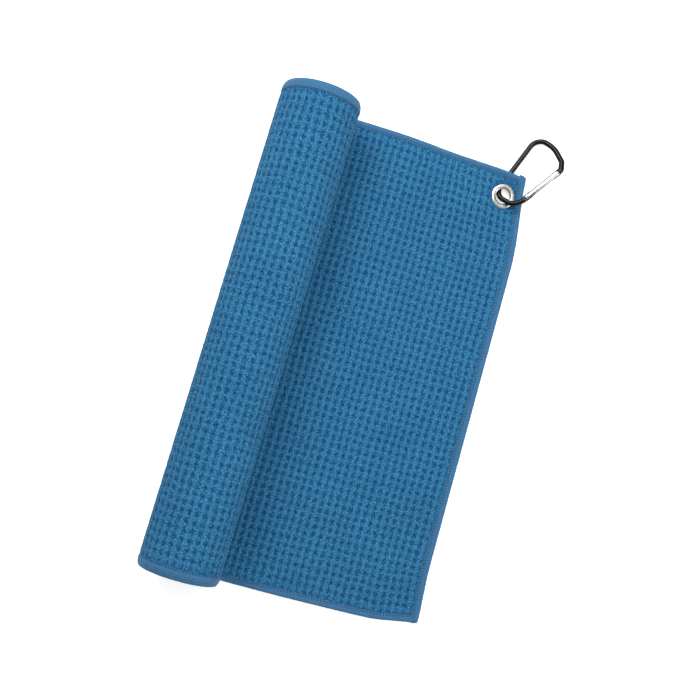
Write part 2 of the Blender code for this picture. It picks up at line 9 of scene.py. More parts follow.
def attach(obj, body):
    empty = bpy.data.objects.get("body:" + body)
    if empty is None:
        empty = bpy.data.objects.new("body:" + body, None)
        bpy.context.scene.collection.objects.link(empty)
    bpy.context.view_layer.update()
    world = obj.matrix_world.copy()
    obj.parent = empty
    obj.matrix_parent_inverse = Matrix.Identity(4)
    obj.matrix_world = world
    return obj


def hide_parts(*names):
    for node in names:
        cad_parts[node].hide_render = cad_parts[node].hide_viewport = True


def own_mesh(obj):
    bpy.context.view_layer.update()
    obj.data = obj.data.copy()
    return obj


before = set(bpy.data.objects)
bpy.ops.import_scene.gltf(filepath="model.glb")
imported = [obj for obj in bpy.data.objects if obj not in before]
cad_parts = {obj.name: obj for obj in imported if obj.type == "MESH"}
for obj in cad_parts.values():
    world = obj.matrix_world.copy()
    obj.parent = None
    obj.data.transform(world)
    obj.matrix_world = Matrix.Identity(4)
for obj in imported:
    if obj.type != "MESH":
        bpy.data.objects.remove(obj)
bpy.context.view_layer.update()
mm = 0.001
print("frame loaded:", len(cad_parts), "CAD nodes")


# ---- how the flat towel is rolled up

towel = {
    "width": 0.406,
    "length": 0.610,
    "halfThick": 0.0018,
    "flatLength": 0.198,        # from under the roll's axis to the free end
    "rollOffset": 0.0815,       # the roll's axis, to -X of the origin
    "rollRadius": 0.0353,
    "rollPitch": 0.0065,        # each turn lies this far inside the last
    "rollSquash": 0.96,
    "skew": 0.0045,             # the free end is drawn in and leans
    "cornerPull": 0.0085,
    "topDraw": 0.0060,
    "bottomDraw": 0.0065,
    "bottomCorner": 0.0042,
    "cornerFlare": 0.0022,      # the far corner stands out a little
    "rimCurl": 0.0016,          # the bound rim of the roll curls in
    "rimWidth": 0.007,
    "rimBulge": 0.0035,         # and stands out furthest at the top of the roll
    "bulgeWidth": 0.050,
}

grommet = {
    "place": (0.0883, 0.1756),
    "tilt": math.radians(12),
    "hole": 0.0065,
    "clothHalf": 0.00032,       # half of the cloth, squeezed in the grommet
    "pressed": 0.0112,          # the cloth is pressed flat out to here
}

carabiner = {
    "spineAngle": math.radians(69.6),
    "tilt": math.radians(26),
    "barRadius": 0.00225,
    "grommetAcross": 0.0071,    # from the spine to the middle of the grommet
    "floorGap": 0.00002,
    "loopEnd": -0.00235,
    "loopTop": 0.0610,
    "topMiddle": (0.0596, 0.0189),
    "noseCorner": (0.0519, 0.0319),
    "rivet": (0.0105, 0.0259),
    "gateAngle": math.radians(16.2),
    "neck": 0.0038,             # the round bar ends this far behind the rivet
    "nose": 0.0336,             # and starts again this far past it
    "noseSwell": 0.10,          # the bar is forged thicker towards the nose
    "swellStart": 0.62,         # share of the points along the bar
    "swellRamp": 0.25,
    "neckBend": 0.012,          # the bends, in order along the bar
    "heelBend": 0.009,
    "topBend": 0.0095,
    "archBend": 0.024,
    "noseBend": 0.005,
    "mouthBend": 0.0025,
    "mouthRun": 0.0025,         # straight, in line with the gate
}

clothLift = {"plateau": 0.013, "fade": 0.052, "reach": 0.025}   # over the carabiner's spine

spineAlong = Vector((math.cos(carabiner["spineAngle"]), math.sin(carabiner["spineAngle"]), 0))
spineAside = Vector((math.sin(carabiner["spineAngle"]), -math.cos(carabiner["spineAngle"]), 0))
loopAcross = spineAside * math.cos(carabiner["tilt"]) + Vector((0, 0, math.sin(carabiner["tilt"])))
grommetHeight = (carabiner["floorGap"] + carabiner["barRadius"]
                 + carabiner["grommetAcross"] * math.sin(carabiner["tilt"]))
grommetCentre = Vector((*grommet["place"], grommetHeight))
grommetAside = (spineAside * math.cos(grommet["tilt"])
                - Vector((0, 0, math.sin(grommet["tilt"]))))
grommetNormal = grommetAside.cross(spineAlong)
spinePoint = grommetCentre - loopAcross * carabiner["grommetAcross"]


def easeIn(value):
    value = np.clip(value, 0.0, 1.0)
    return value * value * (3 - 2 * value)


def spiralTable():
    step = math.radians(0.5)
    lengths, angles = [0.0], [0.0]
    while lengths[-1] < towel["length"] - towel["flatLength"] + 5 * mm:
        angle = angles[-1]
        radius = towel["rollRadius"] - towel["rollPitch"] * angle / math.tau
        squash = math.hypot(math.cos(angle), towel["rollSquash"] * math.sin(angle))
        lengths.append(lengths[-1] + radius * step * squash)
        angles.append(angle + step)
    return np.array(lengths), np.array(angles)


spiralLengths, spiralAngles = spiralTable()


def liftHeight(x, y):   # how far the spine and the tilted grommet raise the cloth
    awayX, awayY = x - grommet["place"][0], y - grommet["place"][1]
    along = np.clip(awayX * spineAlong.x + awayY * spineAlong.y, 0, clothLift["reach"])
    distance = np.hypot(awayX - along * spineAlong.x, awayY - along * spineAlong.y)
    plateau = clothLift["plateau"]
    across = np.clip(awayX * spineAside.x + awayY * spineAside.y, -plateau, plateau)
    height = grommetHeight - towel["halfThick"] - across * math.tan(grommet["tilt"])
    return height * (1 - easeIn((distance - plateau) / clothLift["fade"]))


def middleOfCloth(along, across):   # along is below 0 in the roll
    half = towel["width"] / 2
    angle = np.interp(-along, spiralLengths, spiralAngles)
    radius = towel["rollRadius"] - towel["rollPitch"] * angle / math.tau
    rim = np.abs(across) - half
    radius -= towel["rimCurl"] * easeIn(rim / towel["rimWidth"] + 1) ** 2 * easeIn(angle / 2)
    bulge = towel["rimBulge"] * easeIn(rim / towel["bulgeWidth"] + 1) * (0.5 - 0.5 * np.cos(angle))
    rollX = -towel["rollOffset"] - radius * np.sin(angle)
    rollZ = towel["halfThick"] + towel["rollSquash"] * (towel["rollRadius"] - radius * np.cos(angle))
    flat = np.maximum(along, 0)
    share = flat / towel["flatLength"]
    corner = easeIn((across - 0.120) / 0.095) * easeIn((flat - 0.080) / 0.110)
    flatX = (flat - towel["skew"] * share * (across + half) / towel["width"]
             - towel["cornerPull"] * corner - towel["rollOffset"])
    flare = easeIn((-across - 0.150) / 0.053) * easeIn((flat - 0.100) / 0.098)
    flatX = flatX + towel["cornerFlare"] * flare
    top = easeIn((flat - 0.060) / 0.138) * np.maximum(across, 0) / half
    low = easeIn((-across - 0.120) / 0.083) * easeIn((flat - 0.155) / 0.043)
    bottom = share * share * np.maximum(-across, 0) / half
    flatY = (across - towel["topDraw"] * top + towel["bottomDraw"] * bottom
             + towel["bottomCorner"] * low)
    flatZ = towel["halfThick"] + liftHeight(flatX, flatY)
    rolled = along < 0
    rollY = across + np.where(across > 0, bulge, -0.2 * bulge)
    return np.stack([np.where(rolled, rollX, flatX), np.where(rolled, rollY, flatY),
                     np.where(rolled, rollZ, flatZ)], -1)


def layOut(points):   # flat (along, across, height) to where the rolled towel has it
    step = 0.2 * mm
    along, across, height = points[:, 0], points[:, 1], points[:, 2]
    sideAlong = middleOfCloth(along + step, across) - middleOfCloth(along - step, across)
    sideAcross = middleOfCloth(along, across + step) - middleOfCloth(along, across - step)
    normal = np.cross(sideAlong, sideAcross)
    normal /= np.linalg.norm(normal, axis=1)[:, None]
    return middleOfCloth(along, across) + normal * height[:, None]


def getPoints(mesh):
    points = np.zeros(len(mesh.vertices) * 3)
    mesh.vertices.foreach_get("co", points)
    return points.reshape(-1, 3)


def setPoints(mesh, points):
    mesh.vertices.foreach_set("co", points.astype(np.float32).ravel())
    mesh.update()


def unfoldedMap(mesh, across, name="cloth"):   # a UV map in metres, from flat coordinates
    layer = mesh.uv_layers.new(name=name)
    corners = np.zeros(len(mesh.loops), np.int32)
    mesh.loops.foreach_get("vertex_index", corners)
    layer.data.foreach_set("uv", across[corners].astype(np.float32).ravel())


def pointValue(mesh, name, values):
    attribute = mesh.attributes.new(name, "FLOAT", "POINT")
    attribute.data.foreach_set("value", values.astype(np.float32))


def makePiece(name, shape, finish, body):
    mesh = bpy.data.meshes.new(name)
    shape.to_mesh(mesh)
    shape.free()
    mesh.shade_smooth()
    mesh.materials.append(finish)
    piece = bpy.data.objects.new(name, mesh)
    bpy.context.scene.collection.objects.link(piece)
    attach(piece, body)
    return piece


# ---- finishes

def newFinish(name, roughness, metallic=0.0):
    finish = bpy.data.materials.new(name)
    finish.use_nodes = True
    shader = finish.node_tree.nodes["Principled BSDF"]
    shader.inputs["Roughness"].default_value = roughness
    shader.inputs["Metallic"].default_value = metallic
    return finish, finish.node_tree, shader


def addNode(tree, kind, **settings):
    node = tree.nodes.new(kind)
    for key, value in settings.items():
        if key in node.inputs:
            node.inputs[key].default_value = value
        else:
            setattr(node, key, value)
    return node


def ramp(tree, source, stops):
    node = tree.nodes.new("ShaderNodeValToRGB")
    elements = node.color_ramp.elements
    while len(elements) < len(stops):
        elements.new(0.5)
    for element, (place, colour) in zip(elements, stops):
        element.position = place
        element.color = (*colour, 1) if len(colour) == 3 else colour
    tree.links.new(source, node.inputs["Fac"])
    return node.outputs["Color"]


def mixColour(tree, amount, first, second, blend="MIX"):
    node = tree.nodes.new("ShaderNodeMix")
    node.data_type = "RGBA"
    node.blend_type = blend
    for socket, value in ((node.inputs["Factor"], amount), (node.inputs[6], first), (node.inputs[7], second)):
        if hasattr(value, "is_linked"):
            tree.links.new(value, socket)
        else:
            socket.default_value = value
    return node.outputs[2]


def noise(tree, vector, scale, detail=2.0, roughness=0.5):
    node = addNode(tree, "ShaderNodeTexNoise", Scale=scale, Detail=detail, Roughness=roughness)
    tree.links.new(vector, node.inputs["Vector"])
    return node.outputs["Fac"]


def multiplyAdd(tree, value, factor, extra):
    node = addNode(tree, "ShaderNodeMath", operation="MULTIPLY_ADD")
    for socket, source in zip(node.inputs, (value, factor, extra)):
        if hasattr(source, "is_linked"):
            tree.links.new(source, socket)
        else:
            socket.default_value = source
    return node.outputs["Value"]


def stretched(tree, vector, scale, turn=(0, 0, 0)):
    node = tree.nodes.new("ShaderNodeMapping")
    node.inputs["Scale"].default_value = scale
    node.inputs["Rotation"].default_value = turn
    tree.links.new(vector, node.inputs["Vector"])
    return node.outputs["Vector"]


def addBump(tree, shader, height, strength, distance):
    node = addNode(tree, "ShaderNodeBump", Strength=strength, Distance=distance)
    tree.links.new(height, node.inputs["Height"])
    tree.links.new(node.outputs["Normal"], shader.inputs["Normal"])


def clothVector(tree):
    node = tree.nodes.new("ShaderNodeUVMap")
    node.uv_map = "cloth"
    return node.outputs["UV"]


def objectVector(tree):
    return tree.nodes.new("ShaderNodeTexCoord").outputs["Object"]


waffleColours = {
    # pit and slope paint shade into the weave's hollows, rib paints light onto its ribs
    "pitShade": (0.0052, 0.073, 0.196),
    "slopeShade": (0.0120, 0.118, 0.276),
    "rib": (0.038, 0.208, 0.402),
    "fibreDark": (0.60, 0.72, 0.78, 1),
    # painted highlights on the yarn, brighter than its own colour
    "fibreHighlight": (2.2, 1.5, 1.28, 1),
    "fibreSize": 760,           # per metre
    "streakSize": 600,
    "streakPull": (1.7, 0.6, 1),
    "fibreWeight": 2.1,         # how much of each goes into the colour
    "streakWeight": 2.3,
    "ribWeight": 1.05,
    "level": -2.18,
}


def makeWaffleFinish():
    finish, tree, shader = newFinish("waffleMicrofibre", 0.92)
    shader.inputs["Sheen Weight"].default_value = 0.10
    shader.inputs["Sheen Roughness"].default_value = 0.45
    shader.inputs["Sheen Tint"].default_value = (0.45, 0.72, 1.0, 1)
    shader.inputs["Specular IOR Level"].default_value = 0.2
    flat = clothVector(tree)
    rib = addNode(tree, "ShaderNodeAttribute", attribute_name="rib").outputs["Fac"]
    fibre = noise(tree, flat, waffleColours["fibreSize"], 3.0, 0.65)
    pulled = stretched(tree, flat, waffleColours["streakPull"])
    streak = noise(tree, pulled, waffleColours["streakSize"], 2.0, 0.6)
    ragged = multiplyAdd(tree, rib, waffleColours["ribWeight"], waffleColours["level"])
    ragged = multiplyAdd(tree, streak, waffleColours["streakWeight"], ragged)
    ragged = multiplyAdd(tree, fibre, waffleColours["fibreWeight"], ragged)
    # painted shade and light: darker in the hollows, lighter on the ribs, by the rib share
    base = ramp(tree, ragged, [(0.0, waffleColours["pitShade"]), (0.45, waffleColours["slopeShade"]),
                               (1.0, waffleColours["rib"])])
    # random darker speckle in the yarn, with painted highlights at its light end
    speckleAndHighlights = ramp(tree, fibre, [(0.36, waffleColours["fibreDark"]), (0.5, (1, 1, 1, 1)),
                                 (0.66, waffleColours["fibreHighlight"])])
    shadedAndSpeckled = mixColour(tree, 1.0, base, speckleAndHighlights, "MULTIPLY")
    cloud = ramp(tree, noise(tree, flat, 24, 2.0), [(0.3, (0.90, 0.93, 0.95)), (0.7, (1.08, 1.05, 1.04))])
    tree.links.new(mixColour(tree, 1.0, shadedAndSpeckled, cloud, "MULTIPLY"), shader.inputs["Base Color"])
    addBump(tree, shader, noise(tree, flat, 1500, 3.0, 0.7), 0.75, 0.0006)
    return finish


tapeColours = {
    "shade": (0.024, 0.115, 0.255),
    "face": (0.044, 0.175, 0.345),
    "light": (0.075, 0.235, 0.425),
    # painted shade in the seam's groove and its stitch dimples
    "hole": (0.25, 0.32, 0.38, 1),
}


def makeTapeFinish():
    finish, tree, shader = newFinish("knitTape", 0.8)
    shader.inputs["Sheen Weight"].default_value = 0.3
    shader.inputs["Sheen Roughness"].default_value = 0.4
    shader.inputs["Sheen Tint"].default_value = (0.6, 0.8, 1.0, 1)
    shader.inputs["Specular IOR Level"].default_value = 0.3
    flat = clothVector(tree)
    wales = addNode(tree, "ShaderNodeTexWave", Scale=230.0, Distortion=1.2, Detail=2.0)
    wales.bands_direction = "Y"
    wales.inputs["Detail Scale"].default_value = 3.0
    tree.links.new(flat, wales.inputs["Vector"])
    courses = addNode(tree, "ShaderNodeTexWave", Scale=260.0, Distortion=1.0, Detail=1.0)
    courses.bands_direction = "X"
    tree.links.new(flat, courses.inputs["Vector"])
    knit = mixColour(tree, 0.5, wales.outputs["Color"], courses.outputs["Color"], "MIX")
    base = ramp(tree, knit, [(0.1, tapeColours["shade"]), (0.5, tapeColours["face"]),
                             (0.95, tapeColours["light"])])
    cloud = ramp(tree, noise(tree, flat, 420, 3.0), [(0.3, (0.85, 0.9, 0.94)), (0.7, (1.14, 1.08, 1.05))])
    seamDimpleShade = addNode(tree, "ShaderNodeAttribute", attribute_name="seamDimpleShade").outputs["Fac"]
    # painted shade: the seam's groove and stitch dimples are coloured darker
    dark = ramp(tree, seamDimpleShade, [(0.15, (1, 1, 1, 1)), (0.75, tapeColours["hole"])])
    mottled = mixColour(tree, 1.0, base, cloud, "MULTIPLY")
    tree.links.new(mixColour(tree, 1.0, mottled, dark, "MULTIPLY"), shader.inputs["Base Color"])
    addBump(tree, shader, knit, 0.5, 0.0002)
    return finish


def makeThreadFinish():
    finish, tree, shader = newFinish("spunThread", 0.6)
    shader.inputs["Sheen Weight"].default_value = 0.2
    flat = clothVector(tree)
    plies = addNode(tree, "ShaderNodeTexWave", Scale=900.0, Distortion=0.6)
    plies.bands_direction = "DIAGONAL"
    tree.links.new(flat, plies.inputs["Vector"])
    base = ramp(tree, plies.outputs["Fac"], [(0.0, (0.020, 0.110, 0.260)), (1.0, (0.075, 0.270, 0.520))])
    tree.links.new(base, shader.inputs["Base Color"])
    addBump(tree, shader, plies.outputs["Fac"], 0.6, 0.0001)
    return finish


def makeMetalFinish(name, dark, light, rough, grain, stretch, turn=(0, 0, 0), bump=0.05):
    finish, tree, shader = newFinish(name, rough[0], 1.0)
    place = stretched(tree, objectVector(tree), stretch, turn)
    wear = noise(tree, place, grain, 4.0, 0.6)
    tree.links.new(ramp(tree, wear, [(0.3, dark), (0.7, light)]), shader.inputs["Base Color"])
    shine = ramp(tree, wear, [(0.3, (rough[0],) * 3), (0.75, (rough[1],) * 3)])
    tree.links.new(shine, shader.inputs["Roughness"])
    addBump(tree, shader, wear, bump, 0.0001)
    return finish


def makeBlackFinish():
    finish, tree, shader = newFinish("blackAnodised", 0.25)
    shader.inputs["Specular IOR Level"].default_value = 0.22
    place = objectVector(tree)
    grain = noise(tree, place, 1400, 3.0, 0.6)
    tree.links.new(ramp(tree, grain, [(0.3, (0.003, 0.003, 0.003)), (0.75, (0.012, 0.012, 0.012))]),
                   shader.inputs["Base Color"])
    tree.links.new(ramp(tree, noise(tree, place, 300, 3.0), [(0.3, (0.10,) * 3), (0.7, (0.20,) * 3)]),
                   shader.inputs["Roughness"])
    addBump(tree, shader, grain, 0.08, 0.0001)
    return finish


gateTurn = (0, 0, -math.radians(55))   # turns the silver's grain, after its stretch

finishes = {
    "waffle": makeWaffleFinish(),
    "tape": makeTapeFinish(),
    "thread": makeThreadFinish(),
    "nickel": makeMetalFinish("brightNickel", (0.62, 0.62, 0.61), (0.78, 0.78, 0.77), (0.24, 0.36),
                              420, (1, 1, 1), bump=0.02),
    "black": makeBlackFinish(),
    "silver": makeMetalFinish("satinAluminium", (0.44, 0.44, 0.45), (0.58, 0.58, 0.59), (0.24, 0.36),
                              900, (0.06, 1, 1), gateTurn),
    "steel": makeMetalFinish("springSteel", (0.42, 0.42, 0.43), (0.66, 0.66, 0.66), (0.2, 0.4),
                             700, (1, 1, 1)),
}
print("finishes made:", len(finishes))


# ---- the waffle cloth, woven flat and then rolled

waffle = {
    "cellAlong": 0.00635,
    "cellAcross": 0.0070,
    "quadsPerCell": 5,
    "pitFloor": 0.00040,        # half thickness at the bottom of a hollow
    "selvedge": 0.00085,        # half thickness inside a binding
    "border": 0.00150,          # half thickness of the plain strip beside a binding
    "tufts": 0.15,              # how uneven the loops of yarn are
    "hollow": 1.06,             # larger makes wider hollows
    "waist": 0.42,              # how much lower the ribs across are
    "uneven": 0.07,
    "plainStart": 0.0009,       # in from the seam, where the cloth leaves the binding
    "plainRamp": 0.0013,
    "weaveStart": 0.0020,       # and where its weave begins
    "weaveRamp": 0.0018,
    "inset": 0.0012,            # the cloth's sides are at least this far in from the towel's
    "endLeg": 0.0050,
    "upperLeg": 0.0043,
    "underLeg": 0.0080,
}


tuftRandom = np.random.default_rng(5)


def ribShare(along, across, shift):   # 0 in a hollow, 1 on a rib
    drift = 0.05 * np.sin(across * 97 + 2.3 * np.sin(along * 61)) + 0.05 * np.sin(along * 143 + across * 31)
    u = along / waffle["cellAlong"] + shift + drift
    v = across / waffle["cellAcross"] + shift + 0.06 * np.sin(along * 211 + 1.7 * np.sin(across * 83))
    du = np.abs(u - np.round(u)) * 2
    dv = np.abs(v - np.round(v)) * 2
    hollow = easeIn(waffle["hollow"] - (du ** 1.3 + dv ** 1.35))
    waist = waffle["waist"] * (1 - du) * easeIn(dv)
    uneven = waffle["uneven"] * np.sin(np.round(u) * 12.9898 + np.round(v) * 78.233)
    return np.clip((1 - hollow) * (1 - waist) + uneven * (1 - hollow), 0, 1)


def weaveThickness(along, across, leg, shift):
    sideEdge = towel["width"] / 2 - np.abs(across)
    endEdge = np.minimum(along + towel["length"] - towel["flatLength"], towel["flatLength"] - along)
    inside = np.minimum(sideEdge - leg, endEdge - waffle["endLeg"])
    rib = ribShare(along, across, shift)
    rib = np.clip(rib + waffle["tufts"] * tuftRandom.uniform(-1, 1, len(rib)), 0, 1)
    woven = waffle["pitFloor"] + (towel["halfThick"] - waffle["pitFloor"]) * rib
    plain = easeIn((inside - waffle["plainStart"]) / waffle["plainRamp"])
    full = easeIn((inside - waffle["weaveStart"]) / waffle["weaveRamp"])
    thick = waffle["border"] + (woven - waffle["border"]) * full
    shade = 0.55 + (rib - 0.55) * full
    return waffle["selvedge"] + (thick - waffle["selvedge"]) * plain, shade


def grommetDistance(points):
    away = points - np.array(grommetCentre)
    return np.linalg.norm(away - np.outer(away @ np.array(grommetNormal), np.array(grommetNormal)), axis=1)


def weavePiece(name, firstRow, lastRow):
    stepAlong = waffle["cellAlong"] / waffle["quadsPerCell"]
    stepAcross = waffle["cellAcross"] / waffle["quadsPerCell"]
    columns = int((towel["width"] / 2 - waffle["inset"]) / stepAcross)
    length = (lastRow - firstRow) * stepAlong
    middle = (lastRow + firstRow) * stepAlong / 2
    width = 2 * columns * stepAcross
    shape = bmesh.new()
    place = Matrix.Translation((middle, 0, 0)) @ Matrix.Diagonal((length / 2, width / 2, 1, 1))
    bmesh.ops.create_grid(shape, x_segments=lastRow - firstRow, y_segments=2 * columns, size=1, matrix=place)
    if lastRow > 0:   # room for the grommet
        flat = np.array([vert.co for vert in shape.verts])
        near = grommetDistance(middleOfCloth(flat[:, 0], flat[:, 1])) < grommet["hole"] + 1.0 * mm
        cut = [vert for vert, inside in zip(shape.verts, near) if inside]
        bmesh.ops.delete(shape, geom=cut, context="VERTS")
    bmesh.ops.solidify(shape, geom=shape.faces[:], thickness=1.0)
    piece = makePiece(name, shape, finishes["waffle"], "towel")
    flat = getPoints(piece.data)
    upper = flat[:, 2] > -0.5
    along, across = flat[:, 0], flat[:, 1]
    thickUp, ribUp = weaveThickness(along, across, waffle["upperLeg"], 0.0)
    thickUnder, ribUnder = weaveThickness(along, across, waffle["underLeg"], 0.5)
    thick = np.where(upper, thickUp, thickUnder)
    rib = np.where(upper, ribUp, ribUnder)
    if lastRow > 0:
        distance = grommetDistance(middleOfCloth(along, across))
        free = easeIn((distance - grommet["pressed"]) / (3.0 * mm))
        thick = grommet["clothHalf"] + (thick - grommet["clothHalf"]) * free
        rib = 0.5 + (rib - 0.5) * free
    # the rib share also paints shade into the hollows and light onto the ribs, through the cloth's colour
    pointValue(piece.data, "rib", rib)
    unfoldedMap(piece.data, flat[:, :2])
    setPoints(piece.data, layOut(np.stack([along, across, np.where(upper, thick, -thick)], -1)))
    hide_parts("towel_cloth")
    print("woven:", name, len(piece.data.polygons), "faces")


weavePiece("clothFlat", 0, 155)
weavePiece("clothOuterTurn", -170, 0)
weavePiece("clothInnerTurns", -323, -170)


# ---- the binding tapes

binding = {
    "thick": 0.00055,
    "stitch": 0.0026,
    "quadsPerStitch": 4,
    "puff": 0.00012,            # the tape swells between its stitches
    "dimple": 0.00028,
    "lip": 0.0017,              # the tape's edge, past its seam on the upper face
    "underLip": 0.0009,
    "corner": 0.0026,           # the end tapes' corners are this round
    "turnIn": 0.0072,           # the side seams stop this far from the ends
    "pastSeam": 0.0030,         # and the side tapes go on this far past them
    "farOverhang": 0.0002,      # the end tapes, past the towel's far side
    "grommetOverhang": 0.0012,  # and past its grommet side
    "endSeamInset": 0.0015,     # the end seams stop this far from the sides
}


def tapeOutline(upperLeg, underLeg):   # (in from the edge, height), from the upper face to the under one
    top = towel["halfThick"]
    upper = [(upperLeg + binding["lip"], 1.15), (upperLeg + binding["lip"] - 0.35 * mm, 1.62),
             (upperLeg + 0.95 * mm, 1.55), (upperLeg + 0.45 * mm, 1.22), (upperLeg, 1.45),
             (upperLeg - 0.55 * mm, 1.74)]
    under = [(underLeg + binding["underLip"], 1.15), (underLeg + binding["underLip"] - 0.25 * mm, 1.5),
             (underLeg + 0.35 * mm, 1.25), (underLeg, 1.4), (underLeg - 0.6 * mm, 1.74)]
    fold = [(1.7 * mm - 1.7 * mm * math.cos(turn), math.sin(turn) * top)
            for turn in np.linspace(math.pi / 2, -math.pi / 2, 11)]
    upper = [(depth, height * mm) for depth, height in upper]
    under = [(depth, -height * mm) for depth, height in under]
    wideUp = [(depth, top) for depth in np.linspace(upperLeg - 1.1 * mm, 2.2 * mm, 3)]
    wideUnder = [(depth, -top) for depth in np.linspace(2.2 * mm, underLeg - 1.1 * mm, 5)]
    return np.array(upper + wideUp + fold + wideUnder + under[::-1])


def tapePiece(name, node, upperLeg, underLeg, start, end, toFlat, pinched):
    outline = tapeOutline(upperLeg, underLeg)
    steps = np.linalg.norm(np.diff(outline, axis=0), axis=1)
    travel = np.concatenate([[0], np.cumsum(steps)])
    rows = round((end - start) / binding["stitch"]) * binding["quadsPerStitch"]
    columns = len(outline) - 1
    shape = bmesh.new()
    place = Matrix.Translation(((start + end) / 2, columns / 2, 0)) @ Matrix.Diagonal(
        ((end - start) / 2, columns / 2, 1, 1))
    bmesh.ops.create_grid(shape, x_segments=rows, y_segments=columns, size=1, matrix=place)
    bmesh.ops.solidify(shape, geom=shape.faces[:], thickness=1.0)
    piece = makePiece(name, shape, finishes["tape"], "towel")
    grid = getPoints(piece.data)
    column = np.clip(np.round(grid[:, 1]).astype(int), 0, columns)
    outer = grid[:, 2] > -0.5
    run = grid[:, 0]
    side = outline[column].copy()
    before, after = outline[np.maximum(column - 1, 0)], outline[np.minimum(column + 1, columns)]
    tangent = after - before
    tangent /= np.linalg.norm(tangent, axis=1)[:, None]
    outward = np.stack([tangent[:, 1], -tangent[:, 0]], -1)     # away from the cloth's middle
    wave = np.cos(math.tau * run / binding["stitch"])
    seam = np.minimum(np.abs(side[:, 0] - upperLeg - 0.45 * mm), 9.0)
    seam = np.where(side[:, 1] > 0, seam, np.abs(side[:, 0] - underLeg - 0.35 * mm))
    pull = 1 - easeIn(seam / (1.3 * mm))
    hole = (1 - easeIn(seam / (0.75 * mm))) * (0.5 + 0.5 * wave) ** 2
    # painted shade, strongest in the stitch dimples and fainter along the seam's groove
    pointValue(piece.data, "seamDimpleShade", np.clip(0.25 * pull + 0.9 * hole, 0, 1))
    push = -binding["dimple"] * pull * (0.5 + 0.5 * wave) - binding["puff"] * wave * (1 - pull) * 0.5
    push += 0.06 * mm * np.sin(run * 700 + 3 * np.sin(run * 190 + side[:, 0] * 900))
    push = push - np.where(outer, 0, binding["thick"])
    side += outward * push[:, None]
    if pinched:   # flattened and rounded at the towel's corners
        nearEnd = np.minimum(run - start, end - run)
        flatten = np.sqrt(np.clip(nearEnd / (1.8 * mm), 0.03, 1))
        side[:, 1] *= flatten * (1 + 0.16 * (1 - easeIn((nearEnd - 6 * mm) / (4 * mm))))
        past = np.clip(1 - nearEnd / binding["corner"], 0, 1)
        rounding = binding["corner"] * (1 - np.sqrt(1 - past ** 2))
        side[:, 0] += rounding * np.clip(1 - side[:, 0] / (5 * mm), 0, 1)
    unfoldedMap(piece.data, np.stack([run, travel[column]], -1))
    setPoints(piece.data, layOut(toFlat(run, side[:, 0], side[:, 1])))
    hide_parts(node)


def besideSide(sign):
    return lambda run, depth, height: np.stack([run, sign * (towel["width"] / 2 - depth), height], -1)


def besideEnd(edge, inward):
    return lambda run, depth, height: np.stack([edge + inward * depth, run, height], -1)


innerEnd = towel["flatLength"] - towel["length"]
half = towel["width"] / 2
edges = {
    "grommetSide": ("grommet_side", besideSide(1), False),
    "farSide": ("far_side", besideSide(-1), False),
    "freeEnd": ("free_end", besideEnd(towel["flatLength"], -1), True),
    "innerEnd": ("inner_end", besideEnd(innerEnd, 1), True),
}

for edgeName, (node, toFlat, atEnd) in edges.items():
    legs = (waffle["endLeg"],) * 2 if atEnd else (waffle["upperLeg"], waffle["underLeg"])
    if atEnd:
        start, end = -half - binding["farOverhang"], half + binding["grommetOverhang"]
    else:
        start = innerEnd + binding["turnIn"] - binding["pastSeam"]
        end = towel["flatLength"] - binding["turnIn"] + binding["pastSeam"]
    tapePiece("binding" + edgeName[0].upper() + edgeName[1:], "binding_" + node, *legs, start, end,
              toFlat, atEnd)
print("bindings folded over the edges")


# ---- the seams, a stitch at a time

stitching = {
    "length": 0.0021,
    "width": 0.00052,
    "height": 0.00042,
    "rise": 0.00142,            # the threads' middle, from the middle of the cloth
}


def seamPiece(name, node, start, end, seamDepth, face, toFlat):
    count = int((end - start) / binding["stitch"])
    shape = bmesh.new()
    size = Matrix.Diagonal((stitching["length"] / 2, stitching["width"] / 2, stitching["height"] / 2, 1))
    for index in range(count):
        run = (math.ceil(start / binding["stitch"]) + index + 0.5) * binding["stitch"]
        lean = Matrix.Rotation(0.06 * math.sin(index * 2.4), 4, "Z")
        place = Matrix.Translation((run, seamDepth, face * stitching["rise"]))
        turn = Matrix.Rotation(math.pi / 2, 4, "Y")
        bmesh.ops.create_uvsphere(shape, u_segments=8, v_segments=6, radius=1,
                                  matrix=place @ lean @ size @ turn)
    piece = makePiece(name, shape, finishes["thread"], "towel")
    flat = getPoints(piece.data)
    unfoldedMap(piece.data, flat[:, :2])
    setPoints(piece.data, layOut(toFlat(flat[:, 0], flat[:, 1], flat[:, 2])))
    turned = bmesh.new()
    turned.from_mesh(piece.data)
    bmesh.ops.recalc_face_normals(turned, faces=turned.faces)
    turned.to_mesh(piece.data)
    turned.free()
    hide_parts(node)


for edgeName, (node, toFlat, atEnd) in edges.items():
    for kind, face in (("needle", 1), ("bobbin", -1)):
        if atEnd:
            start, end = -half + binding["endSeamInset"], half - binding["endSeamInset"]
            leg = waffle["endLeg"]
        else:
            start, end = innerEnd + binding["turnIn"], towel["flatLength"] - binding["turnIn"]
            leg = waffle["upperLeg"] if face > 0 else waffle["underLeg"]
        seamPiece(kind + "Stitches" + edgeName[0].upper() + edgeName[1:], kind + "_thread_" + node,
                  start, end, leg + (0.45 * mm if face > 0 or atEnd else 0.35 * mm), face, toFlat)
print("seams sewn")


# ---- the grommet

